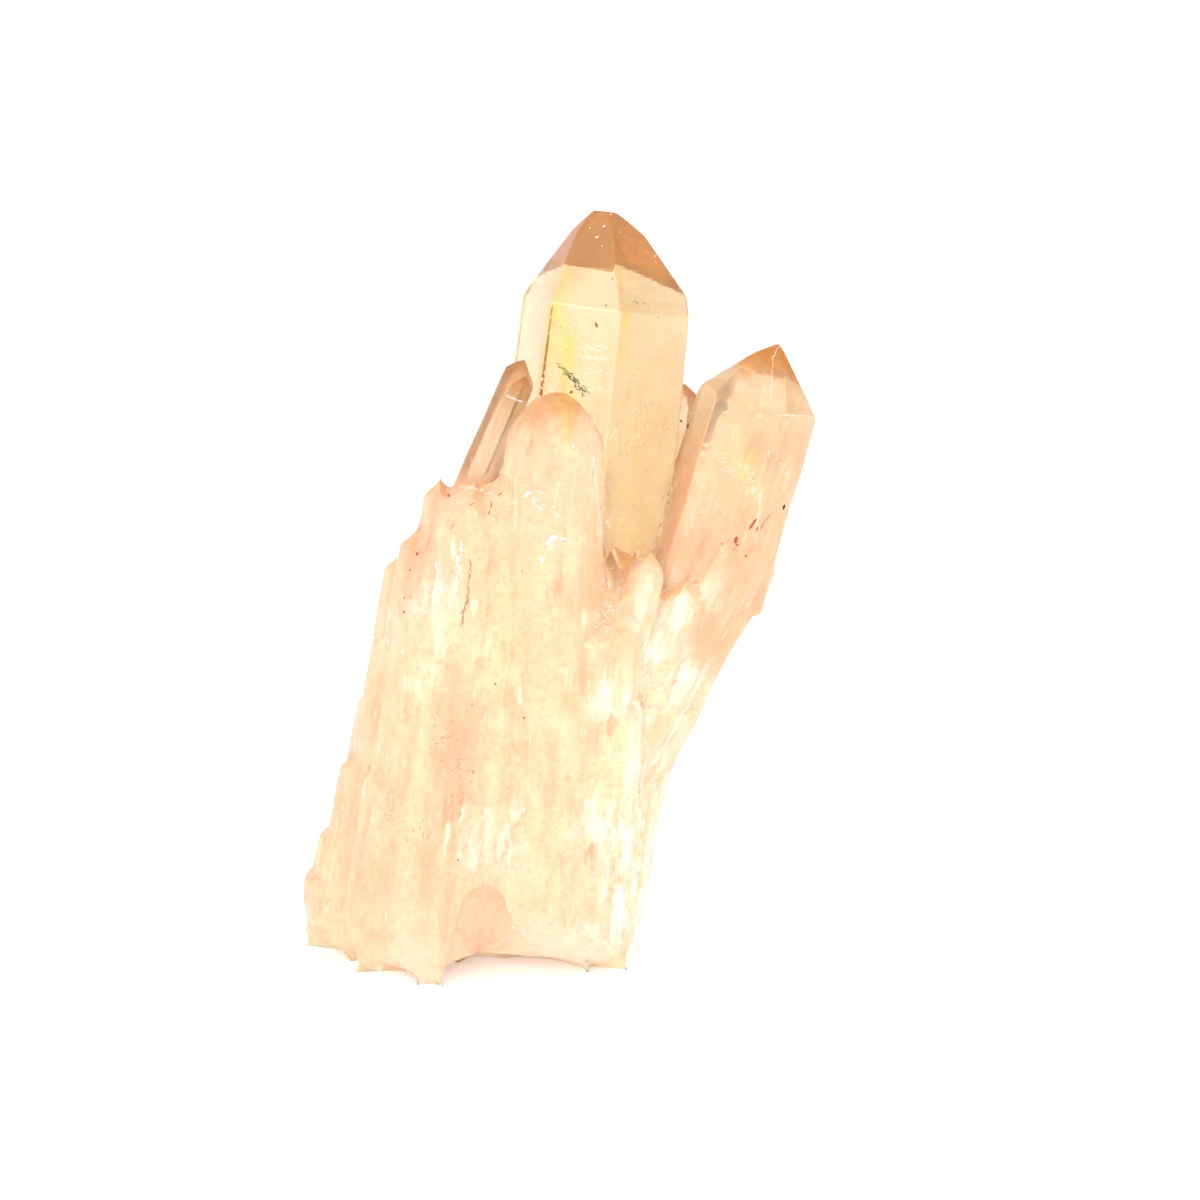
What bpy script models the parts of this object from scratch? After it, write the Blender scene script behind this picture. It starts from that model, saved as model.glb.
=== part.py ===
"""Citrine specimen: a free-standing cluster of quartz points grown together from one broken root.

The object is one solid. Every crystal is a six-sided prism under a six-sided pyramid, which is how
quartz grows, and all of them run down into the same root, where the cluster was cut off flat.
Metres, +Z up. The origin is under the middle of the cluster's box, on the face that it rests on.
"""

import math

import bmesh
import bpy
import numpy as np
from mathutils import Euler, Vector

MM = 0.001

# Quartz: its pyramid faces lean 51.8 degrees from the flat, on every crystal of the kind. A second,
# steeper set shows here and there, and NONE sets a face back so far that it is missing.
PYRAMID_SLOPE = math.radians(51.8)
STEEP_SLOPE = math.radians(66.0)
NONE = 9.0
PRISM_TAPER = math.radians(1.2)
UNEVEN = 0.14
SEED = 7

# The three large points: tip and foot of the axis in mm, breadth across the flats in mm, turn of the
# first prism face from +X in degrees. Then for each of the six faces, anticlockwise from the first,
# its distance as a share of half the breadth, and how far its pyramid face and its steeper face are
# set back from the tip, as shares of half the breadth. Last, how much of the tip is worn away, in mm.
LARGE_POINTS = {
    "main": (
        (5.3, 12.0, 74.9), (-3.4, -5.2, 0.0), 16.0, 13.0,
        (1.07, 1.0, 1.04, 0.79, 0.98, 1.0),
        (0.2, 0.0, 0.05, 0.08, 0.0, 0.0),
        (NONE, NONE, NONE, 0.2, NONE, NONE), 0.7,
    ),
    "right": (
        (22.3, 6.0, 62.4), (16.0, 2.4, 40.6), 10.8, 14.0,
        (0.92, 1.0, 1.05, 1.08, 0.98, 0.98),
        (0.0, 0.1, 0.0, 0.16, 0.0, 0.08),
        (NONE, NONE, NONE, NONE, NONE, NONE), 0.15,
    ),
    "front": (
        (0.3, -5.4, 62.4), (-1.2, -4.8, 0.0), 9.0, 24.0,
        (1.0, 1.0, 0.95, 1.05, 1.0, 1.0),
        (0.0, 0.1, 0.0, 0.1, 0.0, 0.1),
        (0.3, 0.4, 0.3, 0.35, 0.4, 0.3), 2.2,
    ),
}

# Broad crystals that the body is mostly made of, in mm: tip x, y, z, foot x, y, z, breadth.
BROAD_POINTS = [
    (-5.8, -1.2, 51.0, -13.0, -2.8, 0.0, 15.0),
    (5.0, -0.4, 47.0, -1.2, -2.0, 0.0, 15.0),
    (-10.6, 1.0, 43.0, -17.4, -0.6, 0.0, 11.0),
    (9.6, 1.4, 42.0, 1.8, -0.8, 0.0, 11.0),
    (20.8, 2.4, 47.0, -0.4, -2.6, 10.0, 9.6),
]

# The thinner crystals, in mm: tip x, y, z, then foot x, y, z, then breadth across the flats.
THIN_POINTS = [
    # Thin points that stand clear of the body
    (-2.8, 0.2, 62.4, -13.0, -2.4, 38.0, 3.6),
    (13.0, 9.8, 57.0, 7.0, 1.0, 14.0, 3.6),
    (-11.2, -2.0, 51.0, -17.0, -3.4, 0.0, 3.4),
    (-13.6, -2.8, 46.0, -19.4, -4.2, 0.0, 3.4),
    (-15.2, -1.4, 43.0, -21.2, -1.6, 0.0, 3.6),
    # Front of the body, left to right
    (-7.6, -4.8, 51.8, -14.4, -7.8, 0.0, 7.4),
    (-11.4, -5.6, 41.0, -17.0, -6.4, 0.0, 7.0),
    (-4.2, -5.4, 53.0, -9.4, -7.6, 0.0, 6.0),
    (-8.6, -7.4, 37.0, -13.4, -8.8, 0.0, 6.0),
    (-5.0, -8.6, 31.6, -7.4, -9.0, 8.0, 4.6),
    (2.0, -7.6, 33.0, 0.4, -6.4, 0.0, 6.0),
    (4.2, -7.4, 38.8, 2.4, -6.0, 0.0, 5.0),
    (6.2, -7.0, 38.2, 3.8, -5.6, 0.0, 4.4),
    # Right of the body
    (9.6, -5.2, 44.6, -0.6, -5.6, 2.0, 4.2),
    (13.2, -4.2, 41.4, 1.8, -4.0, 4.0, 4.6),
    (7.0, -7.6, 30.6, 4.6, -6.0, 0.0, 4.6),
    (7.8, -3.4, 22.0, 5.4, -3.8, 0.0, 5.2),
    (7.4, 0.2, 21.0, 5.6, -0.4, 0.0, 5.2),
    # Under the right point, stepping down towards the body
    (20.6, 2.8, 41.4, 3.0, 0.0, 10.4, 4.6),
    (18.6, -1.0, 39.6, 3.4, -2.6, 10.0, 4.8),
    (18.0, 5.4, 41.0, 3.6, 2.0, 10.0, 5.0),
    (14.6, 0.8, 29.6, 3.4, -1.0, 8.0, 4.4),
    # Left side, stepping down to the base
    (-16.0, -2.4, 36.0, -20.8, -3.6, 0.0, 4.0),
    (-17.6, -0.6, 29.0, -21.6, -0.8, 0.0, 4.2),
    (-19.4, -2.2, 22.4, -22.8, -3.0, 0.0, 4.2),
    (-21.8, -1.0, 14.4, -24.0, -1.4, 0.0, 4.0),
    (-23.6, -1.4, 10.0, -24.4, -1.8, 0.0, 3.8),
    (-15.8, -6.0, 24.0, -18.6, -6.2, 0.0, 6.0),
    # Back of the body
    (-8.4, 7.0, 46.0, -14.4, 4.6, 0.0, 7.0),
    (-13.0, 5.0, 37.0, -18.0, 4.0, 0.0, 6.0),
    (-2.0, 12.0, 51.0, -7.4, 6.4, 0.0, 7.6),
    (8.6, 12.6, 40.0, 1.0, 6.4, 0.0, 7.0),
    (14.4, 9.6, 43.0, 3.2, 3.6, 0.0, 6.0),
    (-16.6, 4.2, 27.0, -20.0, 3.8, 0.0, 5.0),
    (3.2, 13.4, 29.0, -0.8, 9.2, 0.0, 6.4),
    (-9.0, 10.8, 30.0, -12.0, 8.2, 0.0, 6.8),
    (-4.0, 12.8, 22.0, -6.4, 9.8, 0.0, 6.4),
    (-14.2, 8.4, 19.0, -16.2, 7.4, 0.0, 6.0),
    (7.0, 7.6, 23.0, 3.8, 5.6, 0.0, 5.6),
]

# Shallow scoops where the base was broken, in mm: centre x, y, z and radius.
CHIPS = [
    (-24.0, -19.0, 1.0, 11.6),
    (-15.0, -22.4, 3.4, 11.4),
    (-33.4, -7.0, 1.6, 9.4),
    (-0.4, -19.6, -2.0, 11.6),
    (7.6, -18.6, -1.0, 10.8),
    (16.6, -6.6, -0.6, 9.0),
    (-31.6, 6.6, 0.6, 9.2),
    (13.6, 9.0, 0.4, 9.4),
    (-8.0, 22.4, 1.6, 11.4),
]

CHIP_FACETS = 2
CHIP_TURN = 0.7

# The hollow between the two lobes of the base: its outline in the front as x and z in mm, from the
# left foot over the top to the low undercut at the right, and where its back wall is.
HOLLOW = [
    (-12.4, -4.0), (-10.6, 1.4), (-9.8, 6.2), (-8.5, 10.2), (-6.8, 11.0),
    (-5.4, 10.2), (-4.5, 6.8), (-3.5, 3.8), (-1.0, 2.2), (3.6, 0.9), (5.0, -4.0),
]
HOLLOW_BACK = -7.2
HOLLOW_DEPTH = 12.0

# The middle of the finished cluster's box, in the frame that the lists above use.
BOX_MIDDLE = (-0.33, 2.3)

# How far every crystal runs on past its foot, and the size of the block that the base is cut off with.
SUNK = 4.0
GROUND = 120.0

CITRINE = (0.98, 0.86, 0.62, 1.0)
ROUGHNESS = 0.18
QUARTZ_IOR = 1.544


def solid_between(planes):
    """The closed body inside a set of planes. Each plane is its outward normal and its distance."""
    normals = np.array([n for n, _ in planes])
    distances = np.array([d for _, d in planes])
    index = np.array(
        [(i, j, k) for i in range(len(planes)) for j in range(i) for k in range(j)]
    )
    trios = normals[index]
    keep = np.abs(np.linalg.det(trios)) > 1e-6
    corners = np.linalg.solve(trios[keep], distances[index][keep][..., None])[..., 0]
    inside = (corners @ normals.T <= distances + 1e-7).all(axis=1)
    shape = bmesh.new()
    for corner in np.unique(np.round(corners[inside], 6), axis=0):
        shape.verts.new(corner)
    hull = bmesh.ops.convex_hull(shape, input=shape.verts)
    bmesh.ops.delete(shape, geom=hull["geom_interior"], context="VERTS")
    bmesh.ops.dissolve_limit(
        shape, angle_limit=math.radians(0.5), verts=shape.verts, edges=shape.edges
    )
    bmesh.ops.recalc_face_normals(shape, faces=shape.faces)
    return shape


def quartz_planes(tip, foot, breadth, turn, distances, set_backs, steep_backs, worn=0.0):
    """Planes of one quartz point: six tapered prism faces, its pyramid faces, the foot and a worn tip."""
    tip, foot = np.array(tip), np.array(foot)
    axis = (tip - foot) / np.linalg.norm(tip - foot)
    across = np.cross((0.0, 1.0, 0.0), axis)
    across /= np.linalg.norm(across)
    behind = np.cross(axis, across)
    half = breadth / 2
    shoulder = tip - axis * half * math.tan(PYRAMID_SLOPE)
    planes = [(-axis, -axis @ (foot - axis * SUNK)), (axis, axis @ tip - worn)]
    for face in range(6):
        angle = math.radians(turn + 60.0 * face)
        outward = across * math.cos(angle) + behind * math.sin(angle)
        side = outward * math.cos(PRISM_TAPER) + axis * math.sin(PRISM_TAPER)
        planes.append((side, side @ (shoulder + outward * half * distances[face])))
        for slope, set_back in ((PYRAMID_SLOPE, set_backs[face]), (STEEP_SLOPE, steep_backs[face])):
            slant = outward * math.sin(slope) + axis * math.cos(slope)
            planes.append((slant, slant @ tip + half * set_back))
    return planes


def make_object(name, shape):
    """An object at the origin from a body in millimetres."""
    bmesh.ops.scale(shape, vec=Vector((MM, MM, MM)), verts=shape.verts)
    mesh = bpy.data.meshes.new(name)
    shape.to_mesh(mesh)
    shape.free()
    made = bpy.data.objects.new(name, mesh)
    bpy.context.scene.collection.objects.link(made)
    return made


def as_guide(made, group):
    """Marks an object as one that only shapes another."""
    bpy.context.scene.collection.objects.unlink(made)
    group.objects.link(made)
    made.hide_render = True
    made.display_type = "WIRE"


def lesser_point(name, row, chance, group):
    """A crystal from its tip, foot and breadth, with uneven faces of its own."""
    tip, foot, breadth = row[:3], row[3:6], row[6]
    distances = 1 + chance.uniform(-UNEVEN, UNEVEN, 6)
    set_backs = chance.uniform(0.0, 2 * UNEVEN, 6) * (1, 0, 1, 0, 1, 0)
    turn = chance.uniform(0.0, 60.0)
    planes = quartz_planes(tip, foot, breadth, turn, distances, set_backs, [NONE] * 6)
    as_guide(make_object(name, solid_between(planes)), group)


def chips(group):
    """Rounded scoops, as quartz breaks, each turned so that its small facets fall differently."""
    for number, (x, y, z, radius) in enumerate(CHIPS):
        shape = bmesh.new()
        bmesh.ops.create_icosphere(shape, subdivisions=CHIP_FACETS, radius=radius)
        turned = Euler((CHIP_TURN * number, 0.0, CHIP_TURN * number))
        bmesh.ops.rotate(shape, cent=Vector(), matrix=turned.to_matrix(), verts=shape.verts)
        bmesh.ops.translate(shape, vec=Vector((x, y, z)), verts=shape.verts)
        as_guide(make_object(f"chip_{number}", shape), group)


def hollow(group):
    """The hollow between the lobes: its outline carried from in front of the base to the back wall."""
    shape = bmesh.new()
    back = shape.faces.new([shape.verts.new((x, HOLLOW_BACK, z)) for x, z in HOLLOW])
    swept = bmesh.ops.extrude_face_region(shape, geom=[back])
    front = [v for v in swept["geom"] if isinstance(v, bmesh.types.BMVert)]
    bmesh.ops.translate(shape, vec=Vector((0.0, -HOLLOW_DEPTH, 0.0)), verts=front)
    bmesh.ops.recalc_face_normals(shape, faces=shape.faces)
    as_guide(make_object("hollow", shape), group)


def ground(group):
    """What the cluster was cut off from: everything below the face that it rests on."""
    shape = bmesh.new()
    bmesh.ops.create_cube(shape, size=GROUND)
    bmesh.ops.translate(shape, vec=Vector((0.0, 0.0, -GROUND / 2)), verts=shape.verts)
    as_guide(make_object("ground", shape), group)


def group_named(name):
    """A new collection in the scene."""
    group = bpy.data.collections.new(name)
    bpy.context.scene.collection.children.link(group)
    return group


def join(made, operation, group):
    """A Boolean with every object of a group."""
    boolean = made.modifiers.new(f"{operation.lower()} {group.name}", "BOOLEAN")
    boolean.operation = operation
    boolean.operand_type = "COLLECTION"
    boolean.collection = group
    boolean.solver = "EXACT"


def citrine_material():
    """Clear to milky yellow quartz."""
    material = bpy.data.materials.new("citrine")
    material.use_nodes = True
    shader = material.node_tree.nodes["Principled BSDF"]
    shader.inputs["Base Color"].default_value = CITRINE
    shader.inputs["Roughness"].default_value = ROUGHNESS
    shader.inputs["Metallic"].default_value = 0.0
    shader.inputs["IOR"].default_value = QUARTZ_IOR
    material.diffuse_color = CITRINE
    return material


def build():
    """The whole cluster as one solid."""
    for old in list(bpy.data.objects):
        bpy.data.objects.remove(old)
    crystals, broken = group_named("crystals"), group_named("broken away")
    chance = np.random.default_rng(SEED)
    cluster = make_object("citrine_cluster", solid_between(quartz_planes(*LARGE_POINTS["main"])))
    for name in ("right", "front"):
        as_guide(make_object(name, solid_between(quartz_planes(*LARGE_POINTS[name]))), crystals)
    for number, row in enumerate(BROAD_POINTS + THIN_POINTS):
        lesser_point(f"crystal_{number}", row, chance, crystals)
    chips(broken)
    hollow(broken)
    ground(broken)
    join(cluster, "UNION", crystals)
    join(cluster, "DIFFERENCE", broken)
    middle = Vector((BOX_MIDDLE[0] * MM, BOX_MIDDLE[1] * MM, 0.0))
    for made in bpy.data.objects:
        made.location = -middle
    cluster.data.materials.append(citrine_material())


build()
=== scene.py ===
import math

import bmesh
import bpy
import numpy as np
from mathutils import Matrix, Vector


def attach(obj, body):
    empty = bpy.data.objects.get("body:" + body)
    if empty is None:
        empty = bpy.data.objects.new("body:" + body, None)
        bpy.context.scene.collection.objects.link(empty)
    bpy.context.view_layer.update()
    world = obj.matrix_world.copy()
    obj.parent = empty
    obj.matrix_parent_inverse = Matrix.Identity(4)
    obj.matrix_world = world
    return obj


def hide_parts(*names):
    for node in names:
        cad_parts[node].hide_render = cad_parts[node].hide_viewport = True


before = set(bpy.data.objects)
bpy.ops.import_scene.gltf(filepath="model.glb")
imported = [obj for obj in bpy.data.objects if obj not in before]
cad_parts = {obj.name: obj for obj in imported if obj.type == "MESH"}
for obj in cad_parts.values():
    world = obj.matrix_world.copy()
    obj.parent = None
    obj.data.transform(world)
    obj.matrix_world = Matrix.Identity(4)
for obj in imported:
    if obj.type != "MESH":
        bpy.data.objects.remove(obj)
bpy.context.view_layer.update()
MM = 0.001


# The camera: a long lens a little above the specimen. It aims at the middle of the picture, where the
# cluster's lean and the room above its tips leave it.
PICTURE = 1200.0
FOCAL_PIXELS = 4200.0
SENSOR = 36.0
LOOK_DOWN = math.radians(20.0)
DISTANCE = 0.420
AIM = Vector((0.00483, -0.0023, 0.0373))

towards_camera = Vector((0.0, -math.cos(LOOK_DOWN), math.sin(LOOK_DOWN)))
camera = bpy.data.objects.new("camera", bpy.data.cameras.new("camera"))
bpy.context.scene.collection.objects.link(camera)
camera.location = AIM + towards_camera * DISTANCE
camera.rotation_mode = "QUATERNION"
camera.rotation_quaternion = (-towards_camera).to_track_quat("-Z", "Y")
camera.data.sensor_width = SENSOR
camera.data.lens = SENSOR * FOCAL_PIXELS / PICTURE
camera.data.clip_start = 0.01
camera.data.clip_end = 10.0
bpy.context.scene.camera = camera


# The crystals: quartz points grown side by side out of one root, so that they are one stone. Each is
# a six-sided prism that widens a little downwards, under six pyramid faces of 51.8 degrees, with a
# steeper set here and there. Lengths are in mm, from a point beside the middle of the box.
BOX_MIDDLE = np.array((-0.33, 2.3, 0.0))
PYRAMID_SLOPE = math.radians(51.8)
STEEP_SLOPE = math.radians(66.0)
PRISM_TAPER = math.radians(1.2)
UNEVEN = 0.14
SEED = 7
SUNK = 4.0

# A set-back so large that the crystal has no such face.
NONE = 9.0

# Tip, foot, breadth across the flats, turn of the first face, then the six faces' distances and the
# set-backs of their pyramid and steep faces as shares of half the breadth, and how much tip is worn.
LARGE_POINTS = {
    "main": (
        (5.3, 12.0, 74.9), (-3.4, -5.2, 0.0), 16.0, 13.0,
        (1.07, 1.0, 1.04, 0.79, 0.98, 1.0),
        (0.2, 0.0, 0.05, 0.08, 0.0, 0.0),
        (NONE, NONE, NONE, 0.2, NONE, NONE), 0.7,
    ),
    "right": (
        (22.3, 6.0, 62.4), (16.0, 2.4, 40.6), 10.8, 14.0,
        (0.92, 1.0, 1.05, 1.08, 0.98, 0.98),
        (0.0, 0.1, 0.0, 0.16, 0.0, 0.08),
        (NONE, NONE, NONE, NONE, NONE, NONE), 0.15,
    ),
    "front": (
        (0.3, -5.4, 62.4), (-1.2, -4.8, 0.0), 9.0, 24.0,
        (1.0, 1.0, 0.95, 1.05, 1.0, 1.0),
        (0.0, 0.1, 0.0, 0.1, 0.0, 0.1),
        (0.3, 0.4, 0.3, 0.35, 0.4, 0.3), 2.2,
    ),
}

# The lesser crystals: tip x, y, z, foot x, y, z and breadth. Two of them have clear tips of their own.
BROAD_POINTS = [
    (-5.8, -1.2, 51.0, -13.0, -2.8, 0.0, 15.0),
    (5.0, -0.4, 47.0, -1.2, -2.0, 0.0, 15.0),
    (-10.6, 1.0, 43.0, -17.4, -0.6, 0.0, 11.0),
    (9.6, 1.4, 42.0, 1.8, -0.8, 0.0, 11.0),
    (20.8, 2.4, 47.0, -0.4, -2.6, 10.0, 9.6),
]
THIN_POINTS = [
    (-2.8, 0.2, 62.4, -13.0, -2.4, 38.0, 3.6),
    (13.0, 9.8, 57.0, 7.0, 1.0, 14.0, 3.6),
    (-11.2, -2.0, 51.0, -17.0, -3.4, 0.0, 3.4),
    (-13.6, -2.8, 46.0, -19.4, -4.2, 0.0, 3.4),
    (-15.2, -1.4, 43.0, -21.2, -1.6, 0.0, 3.6),
    (-7.6, -4.8, 51.8, -14.4, -7.8, 0.0, 7.4),
    (-11.4, -5.6, 41.0, -17.0, -6.4, 0.0, 7.0),
    (-4.2, -5.4, 53.0, -9.4, -7.6, 0.0, 6.0),
    (-8.6, -7.4, 37.0, -13.4, -8.8, 0.0, 6.0),
    (-5.0, -8.6, 31.6, -7.4, -9.0, 8.0, 4.6),
    (2.0, -7.6, 33.0, 0.4, -6.4, 0.0, 6.0),
    (4.2, -7.4, 38.8, 2.4, -6.0, 0.0, 5.0),
    (6.2, -7.0, 38.2, 3.8, -5.6, 0.0, 4.4),
    (9.6, -5.2, 44.6, -0.6, -5.6, 2.0, 4.2),
    (13.2, -4.2, 41.4, 1.8, -4.0, 4.0, 4.6),
    (7.0, -7.6, 30.6, 4.6, -6.0, 0.0, 4.6),
    (7.8, -3.4, 22.0, 5.4, -3.8, 0.0, 5.2),
    (7.4, 0.2, 21.0, 5.6, -0.4, 0.0, 5.2),
    (20.6, 2.8, 41.4, 3.0, 0.0, 10.4, 4.6),
    (18.6, -1.0, 39.6, 3.4, -2.6, 10.0, 4.8),
    (18.0, 5.4, 41.0, 3.6, 2.0, 10.0, 5.0),
    (14.6, 0.8, 29.6, 3.4, -1.0, 8.0, 4.4),
    (-16.0, -2.4, 36.0, -20.8, -3.6, 0.0, 4.0),
    (-17.6, -0.6, 29.0, -21.6, -0.8, 0.0, 4.2),
    (-19.4, -2.2, 22.4, -22.8, -3.0, 0.0, 4.2),
    (-21.8, -1.0, 14.4, -24.0, -1.4, 0.0, 4.0),
    (-23.6, -1.4, 10.0, -24.4, -1.8, 0.0, 3.8),
    (-15.8, -6.0, 24.0, -18.6, -6.2, 0.0, 6.0),
    (-8.4, 7.0, 46.0, -14.4, 4.6, 0.0, 7.0),
    (-13.0, 5.0, 37.0, -18.0, 4.0, 0.0, 6.0),
    (-2.0, 12.0, 51.0, -7.4, 6.4, 0.0, 7.6),
    (8.6, 12.6, 40.0, 1.0, 6.4, 0.0, 7.0),
    (14.4, 9.6, 43.0, 3.2, 3.6, 0.0, 6.0),
    (-16.6, 4.2, 27.0, -20.0, 3.8, 0.0, 5.0),
    (3.2, 13.4, 29.0, -0.8, 9.2, 0.0, 6.4),
    (-9.0, 10.8, 30.0, -12.0, 8.2, 0.0, 6.8),
    (-4.0, 12.8, 22.0, -6.4, 9.8, 0.0, 6.4),
    (-14.2, 8.4, 19.0, -16.2, 7.4, 0.0, 6.0),
    (7.0, 7.6, 23.0, 3.8, 5.6, 0.0, 5.6),
]
LEFT_POINT = len(BROAD_POINTS)
BACK_POINT = LEFT_POINT + 1

# How closely the crystals are drawn: rows up the axis, columns around, and how sharp the edges are.
DRAWN = {"main": (130, 132, 90.0), "right": (96, 100, 90.0), "front": (110, 100, 26.0)}
BROAD_DRAWN = (80, 96, 50.0)
THIN_DRAWN = (60, 40, 50.0)

# Rays leave the axis between these places, in half breadths from its ends. Heights 0 to 1 and 2 to 3
# are the rounds past either end. Of many heights and turns tried, the ones at bends are drawn.
RAYS_FROM = 0.5
RAYS_TO = 1.25
LOWEST_HEIGHT = 0.02
HIGHEST_HEIGHT = 2.995
TRIED_BELOW = 12
TRIED_BETWEEN = 220
TRIED_ABOVE = 160
TRIED_TURNS = 145
BEND_BONUS_UP = 0.7
BEND_BONUS_AROUND = 0.8


class Crystal:
    """One quartz point: its own directions, and its faces as outward normals and distances, in mm."""

    def __init__(self, name, tip, foot, breadth, turn, distances, set_backs, steep_backs, worn=0.0):
        self.name, self.half = name, breadth / 2
        self.tip, self.foot = np.array(tip, float), np.array(foot, float)
        self.axis = (self.tip - self.foot) / np.linalg.norm(self.tip - self.foot)
        across = np.cross((0.0, 1.0, 0.0), self.axis)
        self.across = across / np.linalg.norm(across)
        self.behind = np.cross(self.axis, self.across)
        shoulder = self.tip - self.axis * self.half * math.tan(PYRAMID_SLOPE)
        planes = [
            (-self.axis, -self.axis @ (self.foot - self.axis * SUNK)),
            (self.axis, self.axis @ self.tip - worn),
        ]
        for face in range(6):
            angle = math.radians(turn + 60.0 * face)
            outward = self.across * math.cos(angle) + self.behind * math.sin(angle)
            side = outward * math.cos(PRISM_TAPER) + self.axis * math.sin(PRISM_TAPER)
            planes.append((side, side @ (shoulder + outward * self.half * distances[face])))
            for slope, back in ((PYRAMID_SLOPE, set_backs[face]), (STEEP_SLOPE, steep_backs[face])):
                slant = outward * math.sin(slope) + self.axis * math.cos(slope)
                planes.append((slant, slant @ self.tip + self.half * back))
        self.normals = np.array([normal for normal, _ in planes])
        self.distances = np.array([distance for _, distance in planes])


def lesser_crystal(name, row, chance):
    """A crystal from its tip, foot and breadth, with uneven faces of its own."""
    distances = 1 + chance.uniform(-UNEVEN, UNEVEN, 6)
    set_backs = chance.uniform(0.0, 2 * UNEVEN, 6) * (1, 0, 1, 0, 1, 0)
    turn = chance.uniform(0.0, 60.0)
    return Crystal(name, row[:3], row[3:6], row[6], turn, distances, set_backs, [NONE] * 6)


def spread(places, density, count):
    """That many places from the first to the last, close together where density is high: where
    the running total of the density passes equal steps."""
    total = np.concatenate([[0.0], np.cumsum((density[1:] + density[:-1]) / 2 * np.diff(places))])
    return np.interp(np.linspace(0.0, total[-1], count), total, places)


def bend_density(line, places, bonus):
    """How many samples each stretch of a line needs: its share of the length, and as much again
    times a bonus for its share of the bending."""
    steps = np.diff(line, axis=0)
    lengths = np.linalg.norm(steps, axis=-1) + 1e-9
    bends = np.linalg.norm(np.diff(steps / lengths[..., None], axis=0), axis=-1)
    if bends.ndim > 1:
        bends, lengths = bends.max(axis=1), lengths.mean(axis=1)
    bends = np.convolve(np.concatenate([[0.0], bends, [0.0]]), np.ones(3) / 3, "same")
    lengths = np.append(lengths, lengths[-1])
    return (lengths / lengths.sum() + bonus * bends / max(bends.sum(), 1e-9)) / np.gradient(places)


def crystal_surface(crystal, rows, columns, sharpness):
    """The crystal's surface on a grid of rows up the axis by columns around it.

    A ray leaves the axis at each grid point, level along the prism and tilting towards the pole
    past either end. It ends at the nearest face, and where faces are about equally near their
    edge is rounded: one over the reach is the p-norm of one over the distances to the faces.
    """
    low = crystal.foot - crystal.axis * (SUNK - crystal.half * RAYS_FROM)
    high = crystal.tip - crystal.axis * crystal.half * RAYS_TO

    def points(heights, turns):
        heights, turns = np.asarray(heights)[..., None], np.asarray(turns)[..., None]
        start = low + (high - low) * np.clip(heights - 1, 0, 1)
        tilt = np.where(heights < 1, heights - 1, np.where(heights > 2, heights - 2, 0)) * math.pi / 2
        level = crystal.across * np.cos(turns) + crystal.behind * np.sin(turns)
        ray = level * np.cos(tilt) + crystal.axis * np.sin(tilt)
        clear = crystal.distances - start @ crystal.normals.T
        near = np.maximum(ray @ crystal.normals.T, 0) / clear
        most = near.max(-1, keepdims=True)
        reach = 1 / (most[..., 0] * ((near / most) ** sharpness).sum(-1) ** (1 / sharpness))
        return start + ray * reach[..., None]

    heights = np.concatenate([
        np.linspace(LOWEST_HEIGHT, 1, TRIED_BELOW)[:-1],
        np.linspace(1, 2, TRIED_BETWEEN)[:-1],
        np.linspace(2, HIGHEST_HEIGHT, TRIED_ABOVE),
    ])
    turns = np.linspace(0, 2 * math.pi, TRIED_TURNS)
    coarse = points(*np.meshgrid(heights, turns, indexing="ij"))
    chosen = spread(heights, bend_density(coarse, heights, BEND_BONUS_UP), rows)
    fine = points(*np.meshgrid(chosen, turns, indexing="ij"))
    around = np.array(
        [spread(turns, bend_density(ring, turns, BEND_BONUS_AROUND), columns + 1)[:-1] for ring in fine]
    )
    return points(np.repeat(chosen[:, None], columns, axis=1), around)


def grid_object(name, grid):
    """A closed mesh from a grid in mm whose rows go round: quads between rows, and a fan of
    triangles to a pole at either end."""
    rows, columns, _ = grid.shape
    corners = np.concatenate([grid.reshape(-1, 3), [grid[0].mean(axis=0), grid[-1].mean(axis=0)]])
    first = np.arange(rows - 1)[:, None] * columns
    here, following = np.arange(columns), (np.arange(columns) + 1) % columns
    sides = np.stack(
        [first + here, first + following, first + columns + following, first + columns + here], -1
    ).reshape(-1, 4)
    last = (rows - 1) * columns
    below = np.stack([np.full(columns, last + columns), following, here], -1)
    above = np.stack([np.full(columns, last + columns + 1), last + here, last + following], -1)
    mesh = bpy.data.meshes.new(name)
    mesh.from_pydata(
        (corners - BOX_MIDDLE) * MM, [], sides.tolist() + below.tolist() + above.tolist()
    )
    made = bpy.data.objects.new(name, mesh)
    bpy.context.scene.collection.objects.link(made)
    return made


chance = np.random.default_rng(SEED)
crystals = [Crystal(name, *values) for name, values in LARGE_POINTS.items()]
lesser_names = {LEFT_POINT: "left", BACK_POINT: "back"}
for number, row in enumerate(BROAD_POINTS + THIN_POINTS):
    crystals.append(lesser_crystal(lesser_names.get(number, f"lesser_{number}"), row, chance))

crystal_objects = []
for number, crystal in enumerate(crystals):
    lesser = BROAD_DRAWN if number < len(LARGE_POINTS) + len(BROAD_POINTS) else THIN_DRAWN
    grid = crystal_surface(crystal, *DRAWN.get(crystal.name, lesser))
    crystal_objects.append(grid_object(crystal.name, grid))


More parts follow.
